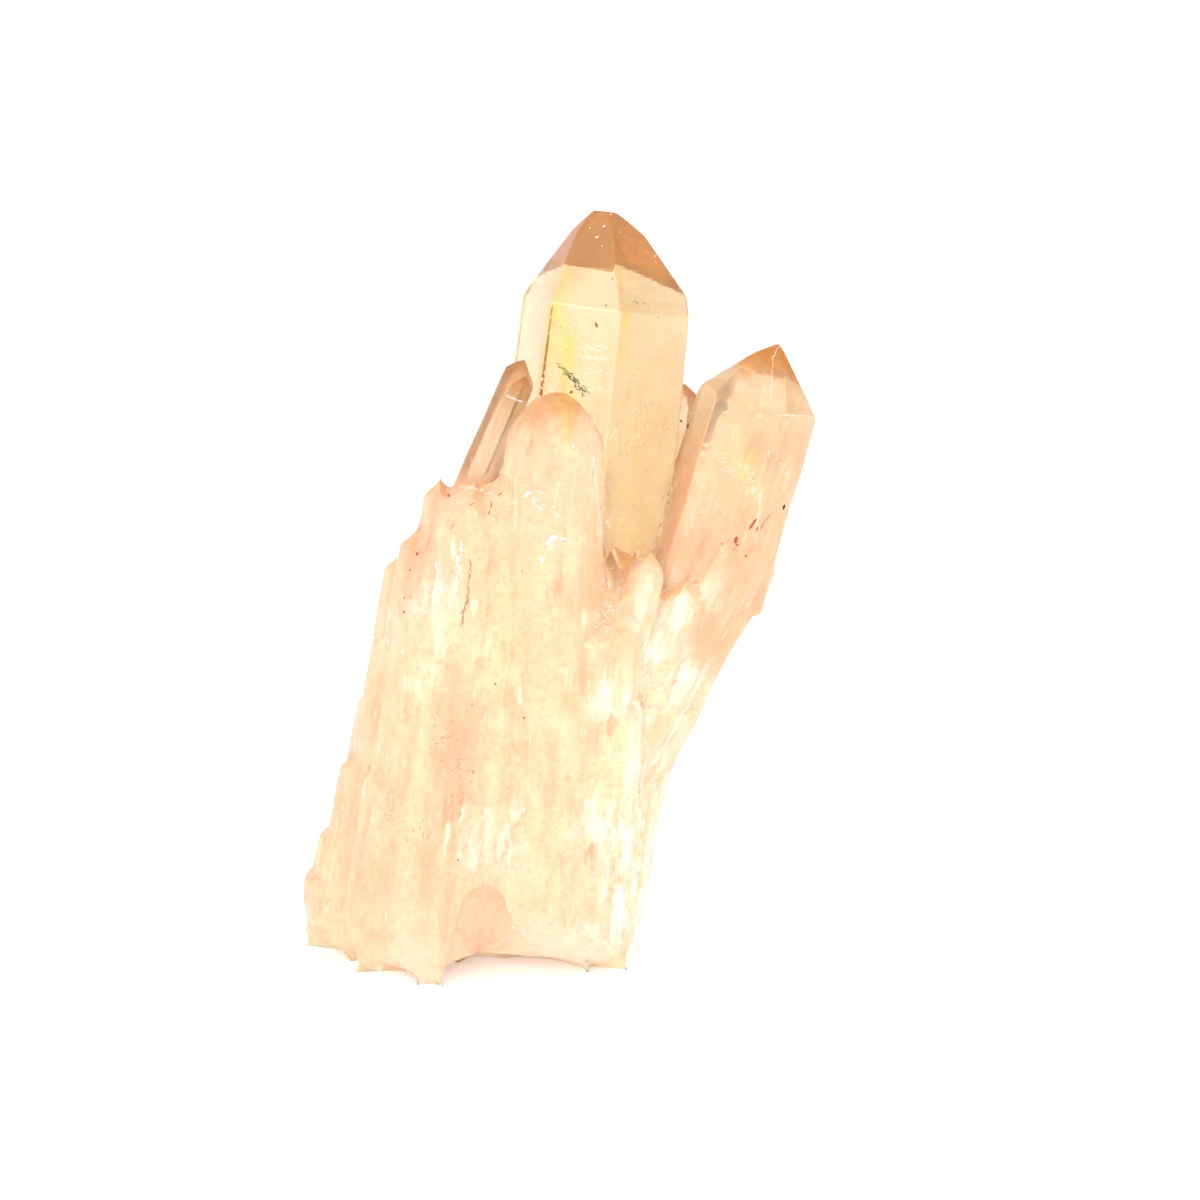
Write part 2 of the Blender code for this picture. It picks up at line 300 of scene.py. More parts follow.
# The broken base: quartz has no cleavage, so it was knocked off its rock in shallow rounded scoops.
# They are balls with a ripple on them, a hollow between two lobes, and everything below the face that
# the specimen stands on, all cut away from the joined crystals. Each scoop: x, y, z and radius.
CHIPS = [
    (-24.0, -19.0, 1.0, 11.6),
    (-15.0, -22.4, 3.4, 11.4),
    (-33.4, -7.0, 1.6, 9.4),
    (-0.4, -19.6, -2.0, 11.6),
    (7.6, -18.6, -1.0, 10.8),
    (16.6, -6.6, -0.6, 9.0),
    (-31.6, 6.6, 0.6, 9.2),
    (13.6, 9.0, 0.4, 9.4),
    (-8.0, 22.4, 1.6, 11.4),
]
CHIP_ROWS = 70
CHIP_COLUMNS = 130
CHIP_ROUGHNESS = 0.3
CHIP_INSET = 0.15
RIPPLE = 5.0
FINE_RIPPLE = 1.8
FINE_RIPPLE_SHARE = 0.5

# The hollow's outline in x and z, and how it is rounded and carried.
HOLLOW = [
    (-12.4, -4.0), (-10.6, 1.4), (-9.8, 6.2), (-8.5, 10.2), (-6.8, 11.0),
    (-5.4, 10.2), (-4.5, 6.8), (-3.5, 3.8), (-1.0, 2.2), (3.6, 0.9), (5.0, -4.0),
]
HOLLOW_MIDDLE = (-6.0, 1.0)
HOLLOW_COLUMNS = 140
HOLLOW_ROUNDINGS = 6
HOLLOW_BACK = -7.2
HOLLOW_FRONT = -19.2
HOLLOW_ROWS = 30
DOME_ROWS = 12
DOME_DEPTH = 2.0
DOME_POWER = 0.6
BEHIND_DOME = 2.4
HOLLOW_RIPPLE = 3.0
HOLLOW_RIPPLE_DEPTH = 0.2
GROUND = 120.0


def waves(points, length, seed, count=11):
    """Smooth noise about zero: the sum of sine waves of about one length that cross in random
    directions, over the root of their number."""
    chance = np.random.default_rng(seed)
    ways = chance.normal(size=(count, 3))
    ways /= np.linalg.norm(ways, axis=1, keepdims=True)
    ways *= 2 * math.pi / (length * chance.uniform(0.6, 1.7, (count, 1)))
    return np.sin(points @ ways.T + chance.uniform(0, 2 * math.pi, count)).sum(-1) / math.sqrt(count)


def scoop(centre, radius, seed):
    """A rippled ball: the radius from south to north and around, less a share of smooth noise."""
    tilt = np.linspace(-math.pi / 2, math.pi / 2, CHIP_ROWS + 2)[1:-1, None]
    turn = np.linspace(0, 2 * math.pi, CHIP_COLUMNS + 1)[None, :-1]
    ball = np.stack(
        [np.cos(tilt) * np.cos(turn), np.cos(tilt) * np.sin(turn), np.sin(tilt) + 0 * turn], -1
    )
    fine = FINE_RIPPLE_SHARE * waves(ball * radius, FINE_RIPPLE, seed + 50)
    uneven = waves(ball * radius, RIPPLE, seed) + fine
    return np.array(centre) + ball * (radius - CHIP_INSET + CHIP_ROUGHNESS * uneven)[..., None]


def hollow_space():
    """The hollow's outline, rounded by averaging neighbours, carried from its back wall to in
    front of the base; the back wall is a dome that closes on the outline's middle."""
    outline = np.array(HOLLOW[::-1] + [HOLLOW[-1]])
    lengths = np.concatenate([[0.0], np.cumsum(np.linalg.norm(np.diff(outline, axis=0), axis=1))])
    even = np.linspace(0, lengths[-1], HOLLOW_COLUMNS + 1)[:-1]
    line = np.stack([np.interp(even, lengths, outline[:, k]) for k in (0, 1)], -1)
    for _ in range(HOLLOW_ROUNDINGS):
        line = (np.roll(line, 1, axis=0) + 2 * line + np.roll(line, -1, axis=0)) / 4
    middle = np.array(HOLLOW_MIDDLE)
    rounding = np.linspace(0.0, math.pi / 2, DOME_ROWS)[1:]
    sizes = np.concatenate([np.sin(rounding) ** DOME_POWER, np.ones(HOLLOW_ROWS)])
    depths = np.concatenate([
        HOLLOW_BACK - DOME_DEPTH * (1 - np.cos(rounding)),
        np.linspace(HOLLOW_BACK - BEHIND_DOME, HOLLOW_FRONT, HOLLOW_ROWS),
    ])
    flat = middle + (line - middle) * sizes[:, None, None]
    space = np.stack([flat[..., 0], np.broadcast_to(depths[:, None], flat.shape[:2]), flat[..., 1]], -1)
    ripple = HOLLOW_RIPPLE_DEPTH * waves(space, HOLLOW_RIPPLE, 31)[..., None]
    return space + ripple * (1.0, 0.0, 1.0)


cutters = [
    grid_object(f"scoop_{number}", scoop(chip[:3], chip[3], number))
    for number, chip in enumerate(CHIPS)
]
cutters.append(grid_object("hollow", hollow_space()))
block = bmesh.new()
bmesh.ops.create_cube(block, size=GROUND * MM, matrix=Matrix.Translation((0, 0, -GROUND * MM / 2)))
cutters.append(bpy.data.objects.new("ground", bpy.data.meshes.new("ground")))
block.to_mesh(cutters[-1].data)
block.free()
bpy.context.scene.collection.objects.link(cutters[-1])

cluster = crystal_objects[0]
for operation, others in (("UNION", crystal_objects[1:]), ("DIFFERENCE", cutters)):
    group = bpy.data.collections.new(operation)
    bpy.context.scene.collection.children.link(group)
    for other in others:
        bpy.context.scene.collection.objects.unlink(other)
        group.objects.link(other)
    boolean = cluster.modifiers.new(operation, "BOOLEAN")
    boolean.operation = operation
    boolean.operand_type = "COLLECTION"
    boolean.collection = group
    boolean.solver = "MANIFOLD"
stone = bpy.data.meshes.new_from_object(
    cluster.evaluated_get(bpy.context.evaluated_depsgraph_get())
)
for used in crystal_objects + cutters:
    bpy.data.objects.remove(used)
for group in list(bpy.data.collections):
    if group.name in ("UNION", "DIFFERENCE"):
        bpy.data.collections.remove(group)
stone.name = "citrine"
cluster = bpy.data.objects.new("citrine", stone)
bpy.context.scene.collection.objects.link(cluster)
bm = bmesh.new()
bm.from_mesh(stone)
bmesh.ops.triangulate(bm, faces=bm.faces)
bm.to_mesh(stone)
bm.free()


# The stone's skin: the columns of the body have grown into each other, fibrous and uneven, while the
# tips kept flat faces with fine growth steps. Each corner also learns where it lies on its crystal.
SMOOTHING = 9
SMOOTHED_SHARE = 0.7
SOFT_MILKINESS = (0.3, 0.9)
BLENDING = 3
SEAM = 0.9
SEAM_LINE = 0.7
SEAM_PATCHES = 3.0
SEAM_SHOWS = (-0.8, 0.6)
BROKEN_INSIDE = (0.15, 0.5)
BROKEN_DEPTH = 0.12
STEP_DEPTH = 0.012
FIBRE = 1.5
FIBRE_STRETCH = 9.0
FIBRE_DEPTH = 0.05
SWELL = 6.0
SWELL_DEPTH = 0.14
ON_THE_GROUND = 0.02
SHARP_FROM = math.radians(28)
# The painted shade that the clear faces of the other crystals get.
PLAIN_FACE_SHADES = [0.2] * 12

# The broken foot is worn round where it would otherwise meet the table in sharp points: how often it is
# smoothed, up to what height, and how much of its fracture is.
WORN = 40
WORN_HEIGHT = 8.0
WORN_FRACTURE = 0.4
WORN_FRACTURE_HEIGHT = 14

# How far the soft zones' edges wander, and over what length, in mm.
WANDER = 1.5
WANDER_LENGTH = 7.0
PAINTED_GLINT_WANDER = 0.2

# How milky each crystal is at its tip, how far from it that lasts, and how long the change to the
# cloudy body takes.
CLEAR = {
    "main": (0.0, 41.0, 6.0), "right": (0.2, 7.0, 12.0), "left": (0.25, 12.0, 8.0),
    "back": (0.1, 22.0, 14.0), "front": (0.5, 3.0, 14.0), "lesser_1": (0.45, 12.0, 3.0),
}
LESSER_CLEAR = (0.85, 0.0, 12.0)

# How strongly each face tints what is seen through it towards a darker tan: painted shade and reflection,
# for the lighter and darker views that the faces give where the main crystals differ. Six prism faces,
# then six pyramid faces, anticlockwise from the right.
PAINTED_FACE_SHADES = {
    "main": (0.3, 0.2, 0.2, 1.0, 0.0, 0.75, 0.7, 0.4, 0.4, 0.5, 0.35, 1.0),
    "right": (0.7, 0.5, 0.4, 0.6, 0.35, 0.6, 0.9, 0.5, 0.5, 0.7, 0.15, 0.9),
    "left": (0.2, 0.2, 0.2, 0.6, 0.0, 0.2, 0.5, 0.5, 0.5, 0.5, 0.5, 0.5),
    "lesser_1": (0.5, 0.2, 0.2, 0.4, 0.5, 0.6, 0.5, 0.2, 0.2, 0.4, 0.5, 0.6),
}

# How far from its tip each crystal is tinted orange, and how strongly.
CAPS = {
    "main": (5.5, 0.55), "right": (3.6, 1.0), "left": (4.0, 0.7), "back": (2.0, 0.8),
    "front": (3.6, 0.75),
}
LESSER_CAP = (1.6, 0.3)

# Soft zones of the milky body: x, z and how far they reach along each, in mm, and their strength.
# The thin zone at x -17 mm, z 5.6 mm is a painted shade line along the ledge of the lower left lobe.
PEACH_ZONES = [
    (-20.0, 20.0, 7.0, 26.0, 0.7), (-10.0, 24.0, 2.6, 8.0, 1.0), (-15.0, 44.0, 7.0, 8.0, 1.0),
    (10.4, 22.6, 2.2, 2.4, 1.0), (-0.7, 56.0, 3.0, 5.0, 0.6), (-17.0, 5.6, 4.0, 0.9, 1.0),
    (16.8, 39.0, 3.0, 5.0, 0.9), (-22.0, 8.0, 5.0, 6.0, 0.5), (18.0, 38.0, 5.0, 7.0, 1.0),
    (-6.0, 4.0, 3.0, 6.0, 0.3),
]
PALE_ZONES = [
    (19.3, 54.4, 3.0, 3.0, 0.9), (10.8, 36.8, 3.0, 4.0, 1.0),
    (10.0, 33.0, 4.2, 11.0, 1.0), (7.6, 13.0, 4.6, 13.0, 1.0), (4.0, 3.0, 6.0, 4.0, 0.6),
    (-12.0, 39.0, 2.0, 5.0, 0.5), (-6.4, 16.0, 2.6, 4.0, 0.8),
]
# Darker tan patches: partly the body's own tan, partly painted shade where the clear faces look onto
# darker parts of the stone.
TAN_AND_SHADE_ZONES = [
    (20.0, 44.0, 5.0, 14.0, 0.9), (-9.0, 55.0, 4.0, 6.0, 0.8), (10.0, 50.0, 4.0, 9.0, 0.8),
    (0.6, 67.6, 1.4, 2.4, 1.0), (10.6, 64.6, 0.9, 3.0, 0.6), (14.0, 40.0, 4.0, 5.0, 0.5),
    (-4.0, 58.0, 4.0, 3.0, 0.9), (-2.6, 62.0, 1.3, 8.0, 0.9),
    (5.8, 41.0, 2.6, 5.0, 1.0), (20.6, 39.5, 2.6, 4.0, 1.0),
]
# Zones of painted yellow glint on the main and right crystals.
PAINTED_GLINT_ZONES = [(1.1, 62.4, 0.9, 3.6, 1.0), (1.6, 59.0, 0.8, 1.8, 0.8), (19.0, 51.5, 1.6, 1.6, 0.5)]


def smooth_step(values, start, end):
    """0 before the start, 1 past the end, and an even S curve between them."""
    share = np.clip((values - start) / (end - start), 0, 1)
    return share * share * (3 - 2 * share)


def outside(points):
    """How far each point lies outside each crystal: its largest distance above a face's plane."""
    return np.stack(
        [(points @ crystal.normals.T - crystal.distances).max(-1) for crystal in crystals], -1
    )


def own_frame(points, owners):
    """Points in their crystal's own directions, in mm from its tip."""
    directions = np.array([(c.across, c.behind, c.axis) for c in crystals])
    tips = np.array([c.tip for c in crystals])
    return np.einsum("nij,nj->ni", directions[owners], points - tips[owners])


def get(collection, name, width, kind=np.float32):
    """One property of every item of a mesh collection, as an array."""
    values = np.empty(len(collection) * width, kind)
    collection.foreach_get(name, values)
    return values.reshape(-1, width) if width > 1 else values


def skin(points, owners):
    """What the given crystals would make of each point: how milky it is and how orange near its tip, the
    depth of the body's fibres and swells there, and that of the faces' growth steps."""
    own = own_frame(points, owners)
    from_tip = -own[:, 2]
    least, start, fade = np.array([CLEAR.get(c.name, LESSER_CLEAR) for c in crystals])[owners].T
    ragged = 1.6 * waves(own * (1, 1, 0.25), 2.2, 61) + 1.2 * waves(points, 6.0, 62)
    milky = least + (1 - least) * smooth_step(from_tip + ragged, start, start + fade)
    reach, strength = np.array([CAPS.get(c.name, LESSER_CAP) for c in crystals])[owners].T
    cap = strength * (1 - smooth_step(from_tip + 0.5 * waves(own, 1.8, 81), reach * 0.4, reach * 1.5))
    fibres = waves(own / (1, 1, FIBRE_STRETCH), FIBRE, 71) + 0.6 * waves(own / (1, 1, 5.0), 0.8, 72)
    swells = waves(own / (1, 1, 3.0), SWELL, 73)
    rough = FIBRE_DEPTH * (fibres + 2.2) + SWELL_DEPTH * (swells + 1.6) * 0.6
    steps = waves(own * (0.25, 0.25, 1), 2.6, 74) + 0.5 * waves(own * (0.2, 0.2, 1), 1.1, 75)
    tone = np.random.default_rng(SEED).uniform(-1, 1, len(crystals))[owners]
    return np.stack([milky, cap, rough, STEP_DEPTH * (steps + 2.2), tone])


def zones(points, places):
    """The strongest of some soft zones at each point: a bell curve of its distance from each."""
    x, z, reach_x, reach_z, strength = np.array(places).T
    far = ((points[:, :1] - x) / reach_x) ** 2 + ((points[:, 2:] - z) / reach_z) ** 2
    return (strength * np.exp(-far)).max(axis=1)


points = get(stone.vertices, "co", 3).astype(float) / MM + BOX_MIDDLE
nearness = outside(points)
owner, neighbour = np.argsort(nearness, axis=1)[:, :2].T
every = np.arange(len(points))
broken = smooth_step(-nearness[every, owner], *BROKEN_INSIDE)
gap = nearness[every, neighbour] - nearness[every, owner]
own_share = 0.5 + 0.5 * smooth_step(gap, 0.0, SEAM)
milky, cap, rough, steps, tone = (
    own_share * skin(points, owner) + (1 - own_share) * skin(points, neighbour)
)
milky = np.maximum(milky, broken)
uneven = WANDER * waves(points, WANDER_LENGTH, 91)[:, None] * (1, 0, 1)
peach = zones(points + uneven, PEACH_ZONES)
pale = zones(points + uneven, PALE_ZONES)
tan = zones(points + uneven, TAN_AND_SHADE_ZONES)
painted_glint = zones(points + PAINTED_GLINT_WANDER * uneven, PAINTED_GLINT_ZONES)
patches = smooth_step(waves(points, SEAM_PATCHES, 92), *SEAM_SHOWS)
seam = (1 - smooth_step(gap, 0.0, SEAM_LINE)) * patches

edges = get(stone.edges, "vertices", 2, np.int32)
ends = np.concatenate([edges, edges[:, ::-1]])
around = np.bincount(ends[:, 0], minlength=len(points))


def neighbour_mean(values):
    """The mean of a value, or of a place, over the corners that share an edge with each corner."""
    if values.ndim > 1:
        return np.stack([neighbour_mean(column) for column in values.T], -1)
    return np.bincount(ends[:, 0], values[ends[:, 1]], len(values)) / around


standing = points[:, 2] < ON_THE_GROUND


def smooth(share, times):
    """Move each corner by its share of the way to its neighbours' mean, a number of times, and
    keep the face that the specimen stands on flat."""
    for _ in range(times):
        points[:] += (neighbour_mean(points) - points) * share[:, None]
        points[standing, 2] = 0.0


smooth(SMOOTHED_SHARE * smooth_step(milky, *SOFT_MILKINESS), SMOOTHING)
foot = SMOOTHED_SHARE * (1 - smooth_step(points[:, 2], 0.0, WORN_HEIGHT))
fracture = WORN_FRACTURE * broken * (points[:, 2] < WORN_FRACTURE_HEIGHT)
smooth(np.minimum(foot + fracture, SMOOTHED_SHARE), WORN)
for _ in range(BLENDING):
    milky += (neighbour_mean(milky) - milky) * SMOOTHED_SHARE
for _ in range(WORN):
    broken += (neighbour_mean(broken) - broken) * SMOOTHED_SHARE

stone.vertices.foreach_set("co", ((points - BOX_MIDDLE) * MM).ravel())
stone.update()
normals = get(stone.vertex_normals, "vector", 3).astype(float)
depth = milky * rough + (1 - milky) * steps
depth += broken * BROKEN_DEPTH * (waves(points, 1.4, 76) + 1.6)
points -= normals * depth[:, None]
points[standing, 2] = 0.0
points[:, 2] = np.maximum(points[:, 2], 0.0)
stone.vertices.foreach_set("co", ((points - BOX_MIDDLE) * MM).ravel())
stone.update()

faces = get(stone.polygons, "vertices", 3, np.int32)
face_owner = owner[faces]
face_owner = np.where(face_owner[:, 1] == face_owner[:, 2], face_owner[:, 1], face_owner[:, 0])
corner_vertices = get(stone.loops, "vertex_index", 1, np.int32)
corner_owner = np.repeat(face_owner, 3)
grown = own_frame(points[corner_vertices], corner_owner) + corner_owner[:, None] * (31.0, 17.0, 0.0)
attribute = stone.attributes.new("grown", "FLOAT_VECTOR", "CORNER")
attribute.data.foreach_set("vector", grown.astype(np.float32).ravel())

# Which face of its crystal each triangle lies on: the first two planes close the ends, and then each
# side has a prism, a pyramid and a steep plane.
middles = points[faces].mean(axis=1)
all_normals = np.array([c.normals for c in crystals])[face_owner]
all_distances = np.array([c.distances for c in crystals])[face_owner]
plane = (np.einsum("nk,npk->np", middles, all_normals) - all_distances)[:, 2:].argmax(axis=1)
face_number = plane // 3 + 6 * (plane % 3 > 0)
# Each triangle gets its face's painted shade.
painted_face_shades = np.array([PAINTED_FACE_SHADES.get(c.name, PLAIN_FACE_SHADES) for c in crystals])
attribute = stone.attributes.new("painted_face_shade", "FLOAT", "FACE")
attribute.data.foreach_set("value", painted_face_shades[face_owner, face_number].astype(np.float32))

shares = {
    "milky": milky, "cap": cap, "broken": broken, "tone": tone, "seam": seam, "peach": peach,
    "pale": pale, "tan": tan, "painted_glint": painted_glint,
}
for name, values in shares.items():
    attribute = stone.attributes.new(name, "FLOAT", "POINT")
    attribute.data.foreach_set("value", values.astype(np.float32))

stone.shade_smooth()
stone.set_sharp_from_angle(angle=SHARP_FROM)


# Citrine: quartz tinted by traces of iron, polished by growth. Clear at the tips, where it darkens
# with depth, and cloudy with tiny gas bubbles further down, where it scatters light. The clear skin is
# smooth and glossy, and the milky, orange-tipped and broken skin lets less light through and is duller.
QUARTZ_IOR = 1.544
CLEAR_TRANSMISSION = 0.97
MILKY_TRANSMISSION = 0.1
TIP_BLOCKS = -0.12
FRACTURE_BLOCKS = -0.1
CLEAR_ROUGHNESS = 0.03
MILKY_ROUGHNESS = 0.32
TIP_ROUGHNESS = 0.3
RELIEF_SHARE = 0.25
RELIEF_DEPTH = 0.0001
SCATTER_DEPTH = 0.002

# The colour that depth leaves, as the absorption node takes it, and the node's density per metre.
LEFT_BY_DEPTH = (0.81, 0.59, 0.1, 1)
ABSORPTION = 44.0

# The colour mix node's numbers for its two colours and its result.
MIX_FROM = 6
MIX_TO = 7
MIXED = 2


def colour(code):
    """A linear colour from an sRGB hex value."""
    shares = np.array([int(code[k:k + 2], 16) for k in (1, 3, 5)]) / 255
    linear = np.where(shares <= 0.04045, shares / 12.92, ((shares + 0.055) / 1.055) ** 2.4)
    return (*linear, 1.0)


def add(tree, kind, settings=None):
    """One node. Each setting is an input, by its name or number, or else a property of the node;
    an input that is given another node's output is linked to it."""
    made = tree.nodes.new(kind)
    for key, value in (settings or {}).items():
        if isinstance(key, str) and key not in made.inputs:
            setattr(made, key, value)
        elif isinstance(value, bpy.types.NodeSocket):
            tree.links.new(value, made.inputs[key])
        else:
            made.inputs[key].default_value = value
    return made


quartz = bpy.data.materials.new("citrine_quartz")
quartz.use_nodes = True
tree = quartz.node_tree
tree.nodes.clear()
place = add(tree, "ShaderNodeTexCoord").outputs["Object"]
in_mm = add(tree, "ShaderNodeVectorMath", {"operation": "SCALE", 0: place, "Scale": 1 / MM}).outputs[0]
own_place = add(tree, "ShaderNodeAttribute", {"attribute_name": "grown"}).outputs["Vector"]
milkiness = add(tree, "ShaderNodeAttribute", {"attribute_name": "milky"}).outputs["Fac"]
capped, chipped, toned, seams, peach_share, pale_share, tan_and_shade_share, painted_glint_share, painted_face_shade_share = (
    add(tree, "ShaderNodeAttribute", {"attribute_name": name}).outputs["Fac"]
    for name in ("cap", "broken", "tone", "seam", "peach", "pale", "tan", "painted_glint", "painted_face_shade")
)

# The body's colours: pale yellow with peach, cream and tan zones, and over them soft mottling of a few
# mm, long fibres, small whitish flecks where the quartz is full of bubbles, and faint rusty stains.
# Each pattern: where it reads, how many of its blotches a mm holds, its detail, and the noise values
# between which it rises from nothing to all. Real fibres are finer, and are drawn to show.
ALONG_FIBRES = (1.0, 1.0, 0.09)
ALONG_WISPS = (1.0, 1.0, 0.3)
PATTERN_ROUGHNESS = 0.62
stretched = add(tree, "ShaderNodeVectorMath", {
    "operation": "MULTIPLY", 0: own_place, 1: ALONG_FIBRES,
}).outputs[0]
wispy = add(tree, "ShaderNodeVectorMath", {
    "operation": "MULTIPLY", 0: own_place, 1: ALONG_WISPS,
}).outputs[0]
PATTERNS = {
    "mottling": (in_mm, 0.3, 5.0, 0.34, 0.66), "fibrous": (stretched, 0.9, 5.0, 0.3, 0.7),
    "flecked": (wispy, 0.8, 5.0, 0.6, 0.74), "stained": (wispy, 0.55, 6.0, 0.58, 0.72),
    "threads": (stretched, 2.6, 3.0, 0.54, 0.66), "grainy": (in_mm, 1.5, 6.0, 0.5, 0.66),
    "flaky": (wispy, 0.7, 6.0, 0.48, 0.56),
}
pattern = {}
for name, (where, scale, detail, low, high) in PATTERNS.items():
    noise = add(tree, "ShaderNodeTexNoise", {
        "Vector": where, "Scale": scale, "Detail": detail, "Roughness": PATTERN_ROUGHNESS,
    }).outputs["Fac"]
    pattern[name] = add(tree, "ShaderNodeMapRange", {
        "Value": noise, "From Min": low, "From Max": high,
    }).outputs["Result"]
fibrous = pattern["fibrous"]


def tinted(below, share, strength, code):
    """A colour with another mixed into it by a share times a strength."""
    amount = add(tree, "ShaderNodeMath", {"operation": "MULTIPLY", 0: share, 1: strength}).outputs[0]
    return add(tree, "ShaderNodeMix", {
        "data_type": "RGBA", 0: amount, MIX_FROM: below, MIX_TO: colour(code),
    }).outputs[MIXED]


body = add(tree, "ShaderNodeMix", {
    "data_type": "RGBA", 0: pattern["mottling"], MIX_FROM: colour("#F9CBA0"), MIX_TO: colour("#FCDEB8"),
}).outputs[MIXED]
yellower = add(tree, "ShaderNodeMath", {"operation": "MULTIPLY", 0: toned, 1: -1.0}).outputs[0]
body = tinted(body, toned, 0.6, "#F5B894")
body = tinted(body, yellower, 0.5, "#FFE6AE")
# Peach zones; the thin one along the ledge is painted shade.
body = tinted(body, peach_share, 0.9, "#F3B08E")
# Tan patches: partly the body's own tan, partly painted shade.
body = tinted(body, tan_and_shade_share, 0.9, "#E4B284")
body = tinted(body, pale_share, 0.8, "#FDE2C4")
body = tinted(body, seams, 0.42, "#E2A276")
body = tinted(body, fibrous, 0.22, "#FFE9C8")
threads = add(tree, "ShaderNodeMath", {
    "operation": "MULTIPLY", 0: pattern["threads"], 1: pattern["mottling"],
}).outputs[0]
body = tinted(body, threads, 0.3, "#FFF0DA")
body = tinted(body, pattern["grainy"], 0.42, "#EDA980")
body = tinted(body, pattern["stained"], 0.6, "#E79E70")
body = tinted(body, pattern["flecked"], 0.8, "#FFF8EA")
flaky = add(tree, "ShaderNodeMath", {
    "operation": "MULTIPLY", 0: pattern["flaky"], 1: pale_share,
}).outputs[0]
body = tinted(body, flaky, 0.9, "#FFFBEE")
# Broken surfaces are paler: partly their own fracture colour, partly painted light that lifts the shade
# in the hollow and under the lobes.
body = tinted(body, chipped, 0.7, "#F8D6BE")

# The clear faces let light through in slightly different colours, across fine growth lines; painted shade
# darkens each face and the tan patches, and a painted yellow glint lies in a few zones.
ACROSS_GROWTH = (0.12, 0.12, 2.2)
GROWTH_DETAIL = 3.0
GROWTH_FROM = 0.45
GROWTH_TO = 0.65
striae = add(tree, "ShaderNodeVectorMath", {
    "operation": "MULTIPLY", 0: own_place, 1: ACROSS_GROWTH,
}).outputs[0]
growth = add(tree, "ShaderNodeTexNoise", {
    "Vector": striae, "Scale": 1.0, "Detail": GROWTH_DETAIL,
}).outputs["Fac"]
lines = add(tree, "ShaderNodeMapRange", {
    "Value": growth, "From Min": GROWTH_FROM, "From Max": GROWTH_TO,
}).outputs[0]
# Each clear face is tinted darker by its painted shade.
clear = tinted(colour("#FFFCF4"), painted_face_shade_share, 1.0, "#D4BE9E")
# The tan patches' painted shade, seen through the clear quartz.
clear = tinted(clear, tan_and_shade_share, 0.8, "#DDB684")
clear = tinted(clear, lines, 0.25, "#F6DDB6")
clear = tinted(clear, pattern["mottling"], 0.3, "#F8E2B8")
clear = tinted(clear, pattern["grainy"], 0.25, "#F0CFA0")
clear = tinted(clear, pattern["stained"], 0.6, "#EBC090")
# The painted yellow glint on the clear faces.
clear = tinted(clear, painted_glint_share, 1.0, "#FFE860")
clear_tint = add(tree, "ShaderNodeMix", {
    "data_type": "RGBA", 0: milkiness, MIX_FROM: clear, MIX_TO: body,
}).outputs[MIXED]
tint = tinted(clear_tint, capped, 1.0, "#D8963C")
clarity = add(tree, "ShaderNodeMapRange", {
    "Value": milkiness, "To Min": CLEAR_TRANSMISSION, "To Max": MILKY_TRANSMISSION,
}).outputs["Result"]
through = add(tree, "ShaderNodeMath", {
    "operation": "MULTIPLY_ADD", 0: capped, 1: TIP_BLOCKS, 2: clarity, "use_clamp": True,
}).outputs[0]
through = add(tree, "ShaderNodeMath", {
    "operation": "MULTIPLY_ADD", 0: chipped, 1: FRACTURE_BLOCKS, 2: through, "use_clamp": True,
}).outputs[0]
gloss = add(tree, "ShaderNodeMapRange", {
    "Value": milkiness, "To Min": CLEAR_ROUGHNESS, "To Max": MILKY_ROUGHNESS,
}).outputs["Result"]
gloss = add(tree, "ShaderNodeMath", {
    "operation": "MULTIPLY_ADD", 0: capped, 1: TIP_ROUGHNESS, 2: gloss,
}).outputs[0]
relief = add(tree, "ShaderNodeMix", {0: milkiness, 2: growth, 3: fibrous}).outputs[0]
bump = add(tree, "ShaderNodeBump", {
    "Height": relief, "Strength": RELIEF_SHARE, "Distance": RELIEF_DEPTH,
}).outputs[0]

# The even value of the transmission stays on its socket under the link, for programs that read one
# value for the whole stone.
EVEN_TRANSMISSION = 0.8
shader = add(tree, "ShaderNodeBsdfPrincipled", {
    "Base Color": tint, "Roughness": gloss, "IOR": QUARTZ_IOR,
    "Transmission Weight": EVEN_TRANSMISSION, "Normal": bump, "Subsurface Weight": 1.0,
    "Subsurface Scale": SCATTER_DEPTH,
})
tree.links.new(through, shader.inputs["Transmission Weight"])
absorption = add(tree, "ShaderNodeVolumeAbsorption", {"Color": LEFT_BY_DEPTH, "Density": ABSORPTION})
add(tree, "ShaderNodeOutputMaterial", {
    "Surface": shader.outputs[0], "Volume": absorption.outputs[0],
})
stone.materials.clear()
stone.materials.append(quartz)
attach(cluster, "root")
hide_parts("citrine_cluster")


# The cloud: below its clear end each crystal is full of gas bubbles too fine to see one by one, which
# scatter the light like milk. It starts in wisps that stand along the crystal, so that the clear part
# looks down into it.
UNDER_SKIN = 0.85
CLOUD_DRAWN = (70, 130)
LESSER_CLOUD_DRAWN = (16, 36)
CLOUD_FLOOR = 15.0
CLOUD_SIDE_ROWS = 10
CLOUD_BOTTOM_ROWS = 7
BOTTOM_HOLE = 0.08
TOP_HOLE = 0.01
WISP_WIDTH = 3.4
WISP_HEIGHT = 0.4
FINE_WISP_WIDTH = 0.8
FINE_WISP_HEIGHT = 0.15
WISP_MIDDLE = 0.5
WISP_LIMIT = 1.2
FACING_UP = 0.1

# How finely the milk's own colour varies, in blotches per metre across and along, and its two colours.
MILK_SCALE = (900.0, 900.0, 200.0)
MILK_DETAIL = 4.0
MILK_ROUGHNESS = 0.6
MILK_DARK = "#F4DFB8"
MILK_LIGHT = "#F6EED8"

